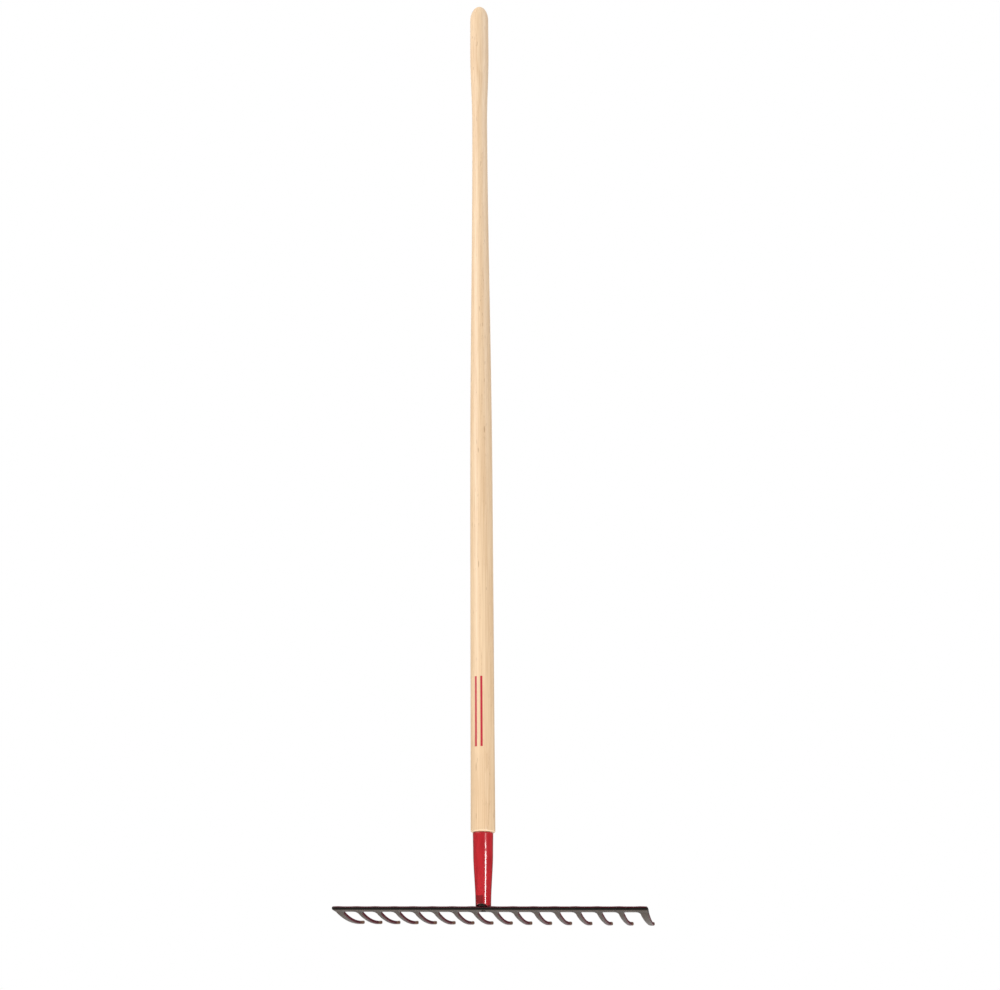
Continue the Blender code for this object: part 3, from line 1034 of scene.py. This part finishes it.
@dataclass(frozen=True)
class Softbox:
    """A rectangular studio light."""

    name: str
    azimuth: float
    elevation: float
    distance: float
    width: float
    height: float
    radiance: float
    aim_z: float = 0.0
    grid_degrees: float = 179.0

    def place(self) -> bpy.types.Object:
        """Stands the light at its azimuth from the front, turning towards +X, aimed at the handle's axis."""
        turn, lift = math.radians(self.azimuth), math.radians(self.elevation)
        aim = Vector((0, 0, self.aim_z))
        away = Vector((math.sin(turn) * math.cos(lift), -math.cos(turn) * math.cos(lift), math.sin(lift)))
        data = bpy.data.lights.new(self.name, "AREA")
        data.shape = "RECTANGLE"
        data.size = self.width
        data.size_y = self.height
        # A grid narrows the beam: less power then gives the same radiance straight ahead.
        half = math.radians(self.grid_degrees) / 2
        data.spread = 2 * half
        data.energy = self.radiance * math.pi * self.width * self.height * (1 - half / math.tan(half))
        lamp = bpy.data.objects.new(self.name, data)
        lamp.location = aim + away * self.distance
        lamp.rotation_euler = (-away).to_track_quat("-Z", "Y").to_euler()
        lamp.visible_camera = False
        bpy.context.scene.collection.objects.link(lamp)
        return lamp


@dataclass
class Studio:
    """Pale floor, white surround, softboxes and the camera."""

    floor_drop: float = 0.42
    floor_reach: float = 9.0
    camera_place: tuple[float, float, float] = (0.396, -1.3485, -0.1024)
    camera_forward: tuple[float, float, float] = (-0.3246, 0.8469, 0.4212)
    camera_up: tuple[float, float, float] = (0.1229, -0.4038, 0.9066)
    lens: float = 39.05
    sensor: float = 36.0
    shift: float = 0.099
    horizon_light: float = 0.07
    top_light: float = 0.80

    def floor(self) -> None:
        """Lays the paper floor well below the head."""
        bm = bmesh.new()
        bmesh.ops.create_grid(bm, x_segments=12, y_segments=12, size=self.floor_reach)
        bmesh.ops.translate(bm, verts=bm.verts[:], vec=(0, 0, CAD_BOX[0].z - self.floor_drop))
        sheet = make_object("studio_floor", bm)
        sheet.data.materials.append(PalePaper().build())

    def surround(self) -> None:
        """A plain white surround that lights from overhead, with a dim horizon to keep the dark steel dark."""
        world = bpy.data.worlds.new("studio_surround")
        bpy.context.scene.world = world
        world.use_nodes = True
        tree = world.node_tree
        tree.nodes.clear()
        way = add_node(tree, "TexCoord").outputs["Generated"]
        upwards = add_node(tree, "SeparateXYZ", links={0: way}).outputs["Z"]
        settings = {"From Min": 0.05, "From Max": 0.8, "To Min": self.horizon_light, "To Max": self.top_light}
        level = add_node(tree, "MapRange", settings, {"Value": upwards}).outputs[0]
        light = add_node(tree, "Background", {"Color": linear("#FFFFFF")}, {"Strength": level})
        seen = add_node(tree, "Background", {"Color": linear("#FFFFFF"), "Strength": 1.0})
        path = add_node(tree, "LightPath").outputs["Is Camera Ray"]
        mixed = add_node(tree, "MixShader", links={0: path, 1: light.outputs[0], 2: seen.outputs[0]})
        add_node(tree, "OutputWorld", links={"Surface": mixed.outputs[0]})

    def lights(self) -> None:
        """Sets up the softboxes."""
        boxes = (
            Softbox("tall_key", azimuth=-42, elevation=34, distance=2.6, width=1.5, height=2.2, radiance=4.0, aim_z=0.35),
            Softbox("low_strip", azimuth=46, elevation=0.6, distance=2.2, width=0.46, height=0.50, radiance=20.0, grid_degrees=60),
            Softbox("fill", azimuth=76, elevation=44, distance=2.8, width=1.2, height=1.8, radiance=3.3, aim_z=0.5),
            Softbox("back_fill", azimuth=190, elevation=35, distance=3.0, width=1.6, height=2.0, radiance=1.4, aim_z=0.6),
        )
        for box in boxes:
            box.place()

    def camera(self) -> None:
        """Stands the camera slightly below the head, on its right, looking up the handle."""
        data = bpy.data.cameras.new("studio_camera")
        data.sensor_width = self.sensor
        data.lens = self.lens
        data.shift_x = self.shift
        data.clip_start = 0.05
        data.clip_end = 60.0
        forward = Vector(self.camera_forward).normalized()
        right = forward.cross(Vector(self.camera_up)).normalized()
        up = right.cross(forward)
        view = bpy.data.objects.new("studio_camera", data)
        turn = Matrix((right, up, -forward)).transposed()
        view.matrix_world = Matrix.Translation(Vector(self.camera_place)) @ turn.to_4x4()
        bpy.context.scene.collection.objects.link(view)
        bpy.context.scene.camera = view

    def build(self) -> None:
        """Sets up everything that isn't the rake."""
        bpy.context.scene.view_settings.view_transform = "Standard"
        self.camera()
        self.floor()
        self.surround()
        self.lights()


def main() -> None:
    """Builds the studio, then the rake's pieces in order."""
    logging.basicConfig(level=logging.INFO, format="%(name)s: %(message)s")
    Studio().build()
    steel = BlackOxideSteel().build()
    ferrule = Ferrule()
    tang = Tang()
    RakeHead().build(UmberBlackEnamel().build())
    tang.build(steel)
    ferrule.build(RedEnamel(lip_z=ferrule.low_z).build())
    handle = Handle(ferrule, tang)
    handle.build(LacqueredAsh(shoulder_z=handle.shoulder_z).build())
    FerrulePin(ferrule).build(steel)


if __name__ == "__main__":
    main()
